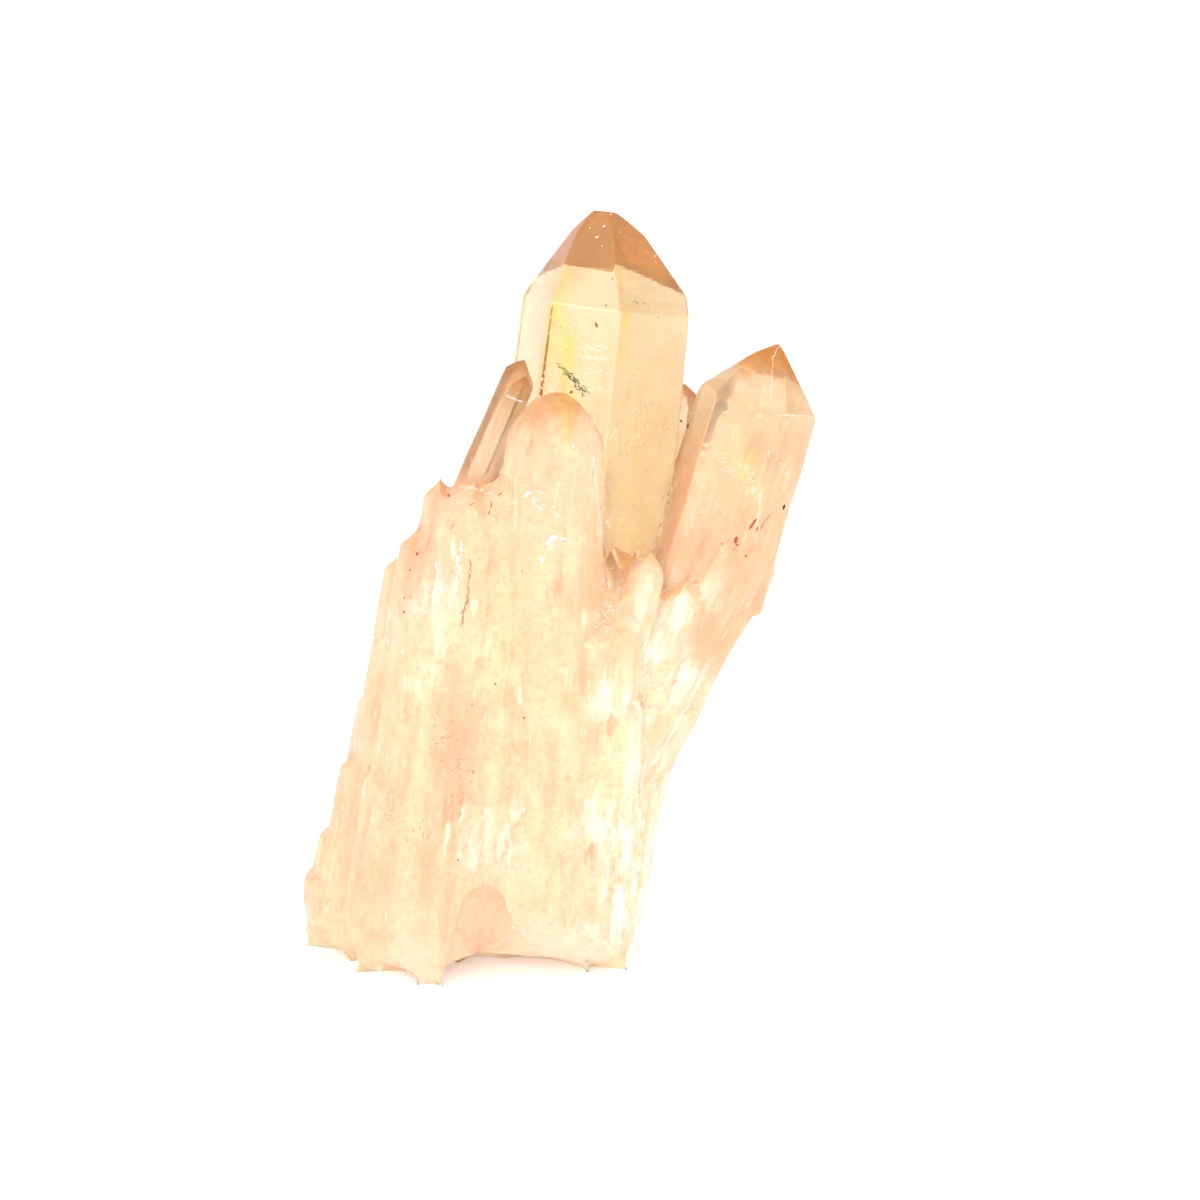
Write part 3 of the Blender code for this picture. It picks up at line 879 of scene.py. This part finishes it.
# How far from the tip each crystal's cloud starts and how high its wisps stand.
CLOUDS = {
    "main": (50.0, 6.0), "right": (17.0, 5.0), "left": (15.0, 3.0), "back": (27.0, 4.0),
    "front": (9.0, 3.0), "lesser_1": (19.0, 3.0),
}
LESSER_CLOUD = (9.0, 0.5)
LESSER_DRAWN_IN = 1.5

# The cloud also passes on the light that falls into the milky body all around it. A render's few
# bounces lose that light, so it is given here as a faint glow.
PASSED_ON_GLOW = 0.45


def cloud_surface(crystal, top, wisps, drawn_in, rows, columns):
    """The crystal's own cross-section drawn in by a little, from above the broken base to the top
    depth, with flat ends that shrink to the axis. Points of the top are raised by the cube of
    smooth noise over the cross-section, which makes wisps."""
    length = np.linalg.norm(crystal.tip - crystal.foot)
    bottom = min((crystal.tip[2] - CLOUD_FLOOR) / crystal.axis[2], length)
    opening = np.linspace(BOTTOM_HOLE, 1.0, CLOUD_BOTTOM_ROWS + 1)[:-1]
    closing = np.linspace(1.0, TOP_HOLE, rows)[1:]
    shares = np.concatenate([opening, np.ones(CLOUD_SIDE_ROWS), closing])[:, None]
    depths = np.concatenate([
        np.full(CLOUD_BOTTOM_ROWS, bottom),
        np.linspace(bottom, top, CLOUD_SIDE_ROWS),
        np.full(rows - 1, top),
    ])
    turns = np.linspace(0, 2 * math.pi, columns + 1)[:-1, None]
    level = crystal.across * np.cos(turns) + crystal.behind * np.sin(turns)
    centres = crystal.tip - crystal.axis * depths[:, None]
    clear = crystal.distances - centres @ crystal.normals.T
    reach = 1 / (np.maximum(level @ crystal.normals.T, 0) / clear[:, None]).max(-1)
    points = centres[:, None] + level * ((reach - drawn_in) * shares)[..., None]
    flat = points @ np.stack([crystal.across, crystal.behind, 0 * crystal.axis], -1)
    noise = WISP_MIDDLE + WISP_HEIGHT * waves(flat, WISP_WIDTH, 95)
    noise = np.clip(noise + FINE_WISP_HEIGHT * waves(flat, FINE_WISP_WIDTH, 96), 0, WISP_LIMIT)
    facing_up = crystal.normals @ crystal.axis
    above = facing_up > FACING_UP
    room = (crystal.distances - UNDER_SKIN - points @ crystal.normals.T)[..., above]
    room = (room / facing_up[above]).min(axis=-1)
    risen = np.minimum(wisps * noise ** 3, np.maximum(room, 0)) * (depths == top)[:, None]
    return points + crystal.axis * risen[..., None]


bm = bmesh.new()
for crystal in crystals:
    top, wisps = CLOUDS.get(crystal.name, LESSER_CLOUD)
    if crystal.name in CLOUDS:
        fineness = (UNDER_SKIN, *CLOUD_DRAWN)
    elif crystal.tip[2] - top > CLOUD_FLOOR + 1 and crystal.half > 2 * LESSER_DRAWN_IN:
        fineness = (LESSER_DRAWN_IN, *LESSER_CLOUD_DRAWN)
    else:
        continue
    part = grid_object("part", cloud_surface(crystal, top, wisps, *fineness))
    bm.from_mesh(part.data)
    bpy.data.objects.remove(part)
cloud_mesh = bpy.data.meshes.new("cloud")
bm.to_mesh(cloud_mesh)
bm.free()
cloud = bpy.data.objects.new("cloud", cloud_mesh)
bpy.context.scene.collection.objects.link(cloud)

# Cloudy quartz: the bubbles in it scatter the light, which makes it matt and cream white.
cloudy = bpy.data.materials.new("cloudy_quartz")
cloudy.use_nodes = True
tree = cloudy.node_tree
milk_shader = tree.nodes["Principled BSDF"]
place = add(tree, "ShaderNodeTexCoord").outputs["Object"]
wispy_place = add(tree, "ShaderNodeVectorMath", {
    "operation": "MULTIPLY", 0: place, 1: MILK_SCALE,
}).outputs[0]
wisp = add(tree, "ShaderNodeTexNoise", {
    "Vector": wispy_place, "Scale": 1.0, "Detail": MILK_DETAIL,
}).outputs["Fac"]
milk = add(tree, "ShaderNodeMix", {
    "data_type": "RGBA", 0: wisp, MIX_FROM: colour(MILK_DARK), MIX_TO: colour(MILK_LIGHT),
}).outputs[MIXED]
tree.links.new(milk, milk_shader.inputs["Base Color"])
tree.links.new(milk, milk_shader.inputs["Emission Color"])
milk_shader.inputs["Emission Strength"].default_value = PASSED_ON_GLOW
milk_shader.inputs["Roughness"].default_value = MILK_ROUGHNESS
cloud_mesh.materials.append(cloudy)
cloud_mesh.shade_smooth()
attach(cloud, "root")


# Veils: healed cracks inside the crystals, each a sheet of thin gas films that mirror the light. Drawn
# as small plates scattered over curved sheets, coarser than the real films so that they show.
VEIL_SEED = 11
PLATES_IN_VEIL = 40
VEIL_RADIUS = (0.8, 3.0)
PLATE_RADIUS = (0.05, 0.2)
PLATE_LENGTH = 1.5
PLATE_THICKNESS = 0.12
PLATE_TILT = 0.25
FILM_ROUGHNESS = 0.3
VEIL_REACH = 0.7
VEIL_TILT = 0.3
VEIL_SCATTER = 0.55
VEIL_BOW = 0.08

# How far from the tip each crystal's veils start and end, how many there are, and how strongly they
# crowd towards the far end.
VEILS = {
    "main": (8.0, 44.0, 40, 0.6), "right": (6.0, 22.0, 24, 0.6), "left": (8.0, 16.0, 4, 0.7),
    "back": (14.0, 28.0, 6, 0.7), "front": (3.0, 22.0, 12, 0.8),
}


def plates(centres, facing, lengthwise, lengths, widths, thickness):
    """Thin six-cornered plates: around each centre an oval ring of six corners, as long and wide as
    given, square to the way it faces, and a pole on either side. Sizes are halves, in mm."""
    aside = np.cross(facing, lengthwise)
    aside /= np.linalg.norm(aside, axis=1, keepdims=True)
    along = np.cross(aside, facing)
    turns = np.arange(6)[:, None] * math.pi / 3
    ring = (
        np.cos(turns) * (along * lengths[:, None])[:, None]
        + np.sin(turns) * (aside * widths[:, None])[:, None]
    )
    poles = np.stack([-facing, facing], 1) * (widths * thickness)[:, None, None]
    corners = (centres[:, None] + np.concatenate([ring, poles], 1)).reshape(-1, 3)
    here = np.arange(6)
    following = (here + 1) % 6
    fan = np.concatenate([
        np.stack([here, following, np.full(6, 7)], -1),
        np.stack([following, here, np.full(6, 6)], -1),
    ])
    return corners, (np.arange(len(centres))[:, None, None] * 8 + fan).reshape(-1, 3)


def small_piece(name, corners, faces, material):
    """A piece of the specimen made of many small closed bodies."""
    mesh = bpy.data.meshes.new(name)
    mesh.from_pydata((corners - BOX_MIDDLE) * MM, [], faces.tolist())
    mesh.materials.append(material)
    made = bpy.data.objects.new(name, mesh)
    bpy.context.scene.collection.objects.link(made)
    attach(made, "root")
    return made


chance = np.random.default_rng(VEIL_SEED)
centres, facing = [], []
for crystal in crystals:
    if crystal.name not in VEILS:
        continue
    start, end, count, crowding = VEILS[crystal.name]
    depths = start + (end - start) * chance.uniform(0, 1, count) ** crowding
    offsets = chance.uniform(-VEIL_REACH, VEIL_REACH, (count, 2)) * crystal.half
    middles = (
        crystal.tip - crystal.axis * depths[:, None]
        + crystal.across * offsets[:, :1] + crystal.behind * offsets[:, 1:]
    )
    nearest = (middles @ crystal.normals.T - crystal.distances).argmax(-1)
    ways = crystal.normals[nearest] + VEIL_TILT * chance.normal(size=(count, 3))
    ways /= np.linalg.norm(ways, axis=1, keepdims=True)
    radii = chance.uniform(*VEIL_RADIUS, count)
    scatter = chance.normal(size=(count, PLATES_IN_VEIL, 3)) * (radii[:, None, None] * VEIL_SCATTER)
    scatter -= (scatter @ ways[:, :, None]) * ways[:, None]
    bow = (scatter ** 2).sum(-1, keepdims=True) * chance.uniform(-VEIL_BOW, VEIL_BOW, (count, 1, 1))
    centres.append((middles[:, None] + scatter + bow * ways[:, None]).reshape(-1, 3))
    facing.append(np.repeat(ways, PLATES_IN_VEIL, axis=0))
centres, facing = np.concatenate(centres), np.concatenate(facing)
facing = facing + PLATE_TILT * chance.normal(size=facing.shape)
facing /= np.linalg.norm(facing, axis=1, keepdims=True)
inside = outside(centres).min(axis=1) < -UNDER_SKIN
centres, facing = centres[inside], facing[inside]
mostly_small = chance.uniform(0, 1, len(centres)) ** 2
plate_radii = PLATE_RADIUS[0] + (PLATE_RADIUS[1] - PLATE_RADIUS[0]) * mostly_small

# A gas film in quartz mirrors the light like bright metal, a little dulled by its uneven walls. It
# also has the cloud's faint painted glow, for the stone's light that it passes on.
films = bpy.data.materials.new("gas_film")
films.use_nodes = True
film_shader = films.node_tree.nodes["Principled BSDF"]
film_shader.inputs["Base Color"].default_value = colour("#FFFFFF")
film_shader.inputs["Metallic"].default_value = 1.0
film_shader.inputs["Roughness"].default_value = FILM_ROUGHNESS
film_shader.inputs["Emission Color"].default_value = colour("#FFF6E4")
film_shader.inputs["Emission Strength"].default_value = PASSED_ON_GLOW
lengthwise = chance.normal(size=facing.shape)
long_radii = PLATE_LENGTH * plate_radii
veil_plates = plates(centres, facing, lengthwise, long_radii, plate_radii, PLATE_THICKNESS)
small_piece("veils", *veil_plates, films)


# Grains and films on and just under the quartz's skin: black and dark green minerals and rust-red
# iron oxide that it grew over, mirror flecks that are partly gas films at small cracks and partly
# painted highlights, white frosting on its worn edges with painted highlights along some edges, and a
# painted yellow glint on one face. They are small plates and needles, set where the camera sees them.
GRAIN_THICKNESS = 0.5
GRAIN_SEED = 5
NEEDLE_WIDTH = 0.1
NEEDLE_LENGTHS = (0.5, 1.2)
NEEDLE_LEAN = 12
PICTURE_MIDDLE = 600.0

# Each kind's colour, roughness and metallic value, and its grains: the pixel in the photograph, half
# the length and width in mm, the tilt from upright in the picture in degrees, and the depth in mm.
GRAINS = {
    "black_grains": ("#2A2A20", 0.5, 0.0, [
        (688, 426, 0.36, 0.24, -10, 0.0), (681, 421, 0.16, 0.12, 0, 0.0), (746, 556, 0.1, 0.1, 0, 0.0),
        (664, 498, 0.14, 0.08, 20, 0.3), (550, 271, 0.3, 0.05, 55, 0.2), (549, 288, 0.24, 0.05, 60, 0.2),
        (637, 302, 0.3, 0.06, -75, 0.2), (645, 303, 0.16, 0.06, -80, 0.2), (659, 317, 0.12, 0.05, 0, 0.2),
        (784, 507, 0.3, 0.2, 10, 0.0), (507, 545, 0.1, 0.07, 0, 0.1),
        (612, 278, 0.2, 0.05, 30, 0.3),
    ]),
    "red_grains": ("#C04C34", 0.55, 0.0, [
        (596, 325, 0.3, 0.14, -20, 0.2), (606, 305, 0.12, 0.1, 0, 0.1), (753, 524, 0.8, 0.2, 50, 0.0),
        (757, 529, 0.3, 0.16, 40, 0.0), (762, 526, 0.6, 0.06, 30, 0.0), (768, 518, 0.5, 0.05, 40, 0.0),
        (736, 540, 0.4, 0.2, 15, 0.0), (737, 545, 0.2, 0.1, 60, 0.0), (722, 544, 0.12, 0.09, 0, 0.0),
        (734, 549, 0.1, 0.08, 0, 0.0), (779, 569, 0.5, 0.1, 55, 0.0), (448, 495, 0.16, 0.12, 0, 0.0),
        (417, 554, 0.2, 0.14, 0, 0.0), (410, 570, 0.12, 0.09, 0, 0.0), (404, 612, 0.2, 0.15, 0, 0.0),
        (404, 598, 0.14, 0.07, 10, 0.0), (491, 506, 0.5, 0.07, 12, 0.0), (489, 513, 0.35, 0.06, 18, 0.0),
        (494, 509, 0.5, 0.05, 12, 0.1), (500, 494, 0.25, 0.07, 60, 0.0), (472, 504, 0.4, 0.05, 60, 0.0),
        (495, 684, 0.12, 0.1, 0, 0.0), (472, 705, 0.1, 0.08, 0, 0.0), (522, 571, 0.09, 0.08, 0, 0.0),
        (452, 527, 0.4, 0.05, 15, 0.0), (444, 540, 0.5, 0.04, 25, 0.0), (458, 860, 0.12, 0.1, 0, 0.0),
        (524, 718, 0.14, 0.08, 0, 0.0), (527, 452, 0.1, 0.1, 0, 0.1), (571, 392, 0.2, 0.14, 60, 0.1),
    ]),
    # Mirror flecks: partly gas films at small cracks, partly painted highlights set where highlights fall
    # on the front and right crystals.
    "glints_and_painted_highlights": ("#FFFFFF", 0.25, 1.0, [
        (604, 226, 0.2, 0.09, 45, 0.0), (597, 237, 0.18, 0.1, 70, 0.0), (611, 214, 0.12, 0.09, 0, 0.0),
        (655, 256, 0.2, 0.06, 20, 0.0), (648, 253, 0.1, 0.05, 0, 0.0), (656, 262, 0.14, 0.04, 10, 0.0),
        (620, 232, 0.08, 0.05, 30, 0.0), (632, 240, 0.07, 0.05, 0, 0.0), (590, 228, 0.08, 0.05, 60, 0.0),
        (602, 246, 0.07, 0.05, 10, 0.0), (624, 250, 0.08, 0.04, 70, 0.0), (640, 262, 0.08, 0.04, 0, 0.0),
        (612, 476, 0.18, 0.08, 10, 0.1), (635, 555, 0.4, 0.2, -20, 0.1), (619, 562, 0.5, 0.08, 15, 0.1),
        (630, 575, 0.3, 0.05, 0, 0.1), (527, 494, 0.4, 0.2, 30, 0.0), (534, 501, 0.3, 0.1, -40, 0.0),
        (540, 508, 0.4, 0.08, -40, 0.0), (557, 515, 0.16, 0.14, 0, 0.0), (553, 538, 0.5, 0.25, 70, 0.0),
        (548, 543, 0.3, 0.2, 40, 0.0), (563, 539, 0.4, 0.1, 80, 0.0), (542, 560, 0.3, 0.2, 0, 0.0),
        (574, 446, 0.5, 0.3, 20, 0.08), (580, 464, 0.4, 0.3, 60, 0.08), (753, 548, 0.3, 0.16, 0, 0.08),
        (731, 491, 0.24, 0.16, 30, 0.08), (748, 484, 0.3, 0.2, 20, 0.08), (742, 470, 0.3, 0.05, 30, 0.08),
        (755, 470, 0.2, 0.05, 40, 0.08), (785, 453, 0.2, 0.1, 40, 0.08), (760, 388, 0.2, 0.12, 50, 0.08),
        (720, 550, 0.2, 0.2, 0, 0.08), (710, 565, 0.2, 0.1, 0, 0.08), (668, 494, 0.2, 0.14, 60, 0.08),
        (436, 566, 0.3, 0.2, 20, 0.0), (441, 589, 0.3, 0.2, 20, 0.0), (457, 560, 0.5, 0.14, 10, 0.0),
        (461, 548, 0.4, 0.1, 15, 0.0), (388, 643, 0.25, 0.2, 0, 0.0), (402, 652, 0.2, 0.12, 0, 0.0),
        (456, 640, 0.2, 0.14, 0, 0.0), (518, 760, 0.2, 0.12, 0, 0.0), (524, 810, 0.25, 0.14, 60, 0.0),
    ]),
}

# Streaks of many small needles, with the same three values first: the pixels they run between, how
# many, half their length in mm, how far they scatter in pixels, and their depth in mm.
STREAKS = {
    "green_needles": ("#44513C", 0.6, 0.0, [
        ((559, 366), (571, 378), 12, 0.4, 1.4, 0.3), ((568, 376), (585, 393), 34, 0.4, 2.4, 0.3),
    ]),
    "rusty_needles": ("#C06A48", 0.6, 0.0, [
        ((471, 560), (467, 600), 14, 0.4, 0.8, 0.0), ((467, 600), (461, 624), 12, 0.4, 1.0, 0.0),
        ((442, 715), (466, 800), 30, 0.3, 9.0, 0.0), ((382, 800), (420, 840), 24, 0.3, 9.0, 0.0),
        ((515, 317), (520, 372), 16, 0.2, 2.4, 0.1), ((527, 668), (524, 726), 10, 0.15, 1.5, 0.0),
    ]),
    # White needles: partly frosting on worn edges, partly painted highlights along the edges of the
    # front, right and left crystals.
    "frost_and_painted_highlights": ("#FFFFFF", 0.5, 0.0, [
        ((580, 346), (606, 348), 22, 0.22, 1.2, 0.0), ((582, 357), (604, 359), 18, 0.22, 1.4, 0.0),
        ((584, 372), (606, 373), 14, 0.2, 1.6, 0.0), ((588, 388), (604, 389), 10, 0.2, 1.4, 0.0),
        ((522, 392), (560, 382), 26, 0.2, 3.0, 0.0), ((606, 570), (606, 630), 50, 0.3, 5.0, 0.0),
        ((640, 548), (622, 590), 30, 0.3, 3.0, 0.0), ((525, 490), (560, 512), 26, 0.18, 3.0, 0.0),
        ((540, 536), (560, 546), 24, 0.16, 3.0, 0.0), ((722, 452), (735, 476), 20, 0.2, 3.0, 0.0),
        ((742, 462), (756, 492), 24, 0.2, 3.0, 0.0), ((772, 450), (786, 474), 20, 0.2, 3.0, 0.0),
        ((440, 555), (434, 604), 30, 0.3, 3.0, 0.0), ((462, 545), (455, 580), 24, 0.3, 2.5, 0.0),
        ((650, 640), (636, 760), 60, 0.3, 6.0, 0.0), ((779, 346), (773, 358), 8, 0.22, 0.3, 0.0),
        ((773, 358), (771, 399), 16, 0.22, 0.3, 0.0), ((777, 415), (812, 416), 14, 0.22, 0.3, 0.0),
        ((593, 458), (599, 508), 26, 0.3, 0.4, 0.0), ((599, 509), (597, 534), 14, 0.3, 0.4, 0.0),
        ((469, 487), (492, 494), 20, 0.35, 0.6, 0.0), ((507, 396), (521, 402), 14, 0.35, 0.5, 0.0),
    ]),
    # A streak of needles that paints a yellow glint on the main crystal.
    "painted_yellow_glint": ("#FFF08C", 0.4, 0.0, [
        ((559, 308), (567, 374), 40, 0.25, 3.0, 0.0), ((546, 326), (556, 316), 8, 0.25, 2.0, 0.0),
    ]),
}


def on_stone(pixels, tilts, depths):
    """Where the camera's rays through some pixels meet the stone, that far under its skin in mm,
    with the skin's outward direction there and a direction that shows at the given tilts."""
    turned = camera.rotation_quaternion.to_matrix()
    aside, upward, backward = (np.array(turned.col[k]) for k in range(3))
    rays = (
        (pixels[:, :1] - PICTURE_MIDDLE) * aside - (pixels[:, 1:] - PICTURE_MIDDLE) * upward
        - FOCAL_PIXELS * backward
    )
    depsgraph = bpy.context.evaluated_depsgraph_get()
    found = [cluster.ray_cast(camera.location, Vector(ray), depsgraph=depsgraph) for ray in rays]
    met = np.array([hit[0] for hit in found])
    hits = np.array([hit[1] for hit in found])[met] / MM + BOX_MIDDLE
    outwards = np.array([hit[2] for hit in found])[met]
    angles = np.radians(tilts)[met, None]
    upright = upward * np.cos(angles) + aside * np.sin(angles)
    return hits - outwards * depths[met, None], outwards, upright, met


chance = np.random.default_rng(GRAIN_SEED)
for name, (code, gloss, metal, rows) in (GRAINS | STREAKS).items():
    if name in STREAKS:
        made = []
        for start, end, count, length, scatter, depth in rows:
            middle = np.linspace(start, end, count) + chance.normal(size=(count, 2)) * scatter
            lean = math.degrees(math.atan2(end[0] - start[0], start[1] - end[1]))
            rest = np.full((count, 4), (length, NEEDLE_WIDTH * length, lean, depth))
            rest[:, 0] *= chance.uniform(*NEEDLE_LENGTHS, count)
            rest[:, 2] += NEEDLE_LEAN * scatter * chance.normal(size=count)
            made.append(np.concatenate([middle, rest], axis=1))
        rows = np.concatenate(made)
    rows = np.array(rows, float)
    centres, outwards, upright, met = on_stone(rows[:, :2], rows[:, 4], rows[:, 5])
    grain = bpy.data.materials.new(name)
    grain.use_nodes = True
    grain_shader = grain.node_tree.nodes["Principled BSDF"]
    grain_shader.inputs["Base Color"].default_value = colour(code)
    grain_shader.inputs["Roughness"].default_value = gloss
    grain_shader.inputs["Metallic"].default_value = metal
    rows = rows[met]
    grain_plates = plates(centres, outwards, upright, rows[:, 2], rows[:, 3], GRAIN_THICKNESS)
    small_piece(name, *grain_plates, grain)


# The table: a smooth white board that runs on well past the picture's edges. It gives off a little
# light of its own, as a board lit from below does.
TABLE_SIDE = 3
TABLE_BACK = 6
TABLE_GLOW = 0.2
table_mesh = bpy.data.meshes.new("table")
table_corners = [
    (-TABLE_SIDE, -TABLE_SIDE, 0), (TABLE_SIDE, -TABLE_SIDE, 0),
    (TABLE_SIDE, TABLE_BACK, 0), (-TABLE_SIDE, TABLE_BACK, 0),
]
table_mesh.from_pydata(table_corners, [], [(0, 1, 2, 3)])
table = bpy.data.objects.new("table", table_mesh)
bpy.context.scene.collection.objects.link(table)
white = bpy.data.materials.new("white_board")
white.use_nodes = True
board = white.node_tree.nodes["Principled BSDF"]
board.inputs["Base Color"].default_value = colour("#F4F2F0")
board.inputs["Roughness"].default_value = 0.7
board.inputs["Emission Color"].default_value = colour("#FFFFFF")
board.inputs["Emission Strength"].default_value = TABLE_GLOW
table_mesh.materials.append(white)

# The light: a bright room, brightest above to the front and left, so that each clear face shows
# another part of it, and large soft boxes to the left, right and front.
ROOM_LIGHT = 0.98
ROOM_SLOPE = (-0.14, -0.18, 0.2)
LIT_POINT = (0, 0, 0.035)
world = bpy.data.worlds.new("room")
bpy.context.scene.world = world
world.use_nodes = True
tree = world.node_tree
seen_way = add(tree, "ShaderNodeTexCoord").outputs["Generated"]
slope = add(tree, "ShaderNodeVectorMath", {"operation": "DOT_PRODUCT", 0: seen_way, 1: ROOM_SLOPE})
strength = add(tree, "ShaderNodeMath", {0: slope.outputs["Value"], 1: ROOM_LIGHT}).outputs[0]
tree.links.new(strength, tree.nodes["Background"].inputs["Strength"])
tree.nodes["Background"].inputs["Color"].default_value = (1, 1, 1, 1)


def softbox(name, place, size, power):
    """A soft box at a place and of a size in metres, of a power in watts, that faces the specimen."""
    light = bpy.data.lights.new(name, "AREA")
    light.shape = "RECTANGLE"
    light.size, light.size_y = size
    light.energy = power
    made = bpy.data.objects.new(name, light)
    bpy.context.scene.collection.objects.link(made)
    made.location = place
    made.rotation_mode = "QUATERNION"
    made.rotation_quaternion = (Vector(place) - Vector(LIT_POINT)).to_track_quat("Z", "Y")


softbox("key", (-0.55, -0.55, 0.8), (0.65, 0.65), 2.9)
softbox("fill", (0.7, -0.1, 0.6), (0.6, 0.8), 1.6)
softbox("front", (0.05, -0.9, 0.12), (0.6, 0.16), 0.45)
bpy.context.scene.view_settings.view_transform = "Standard"
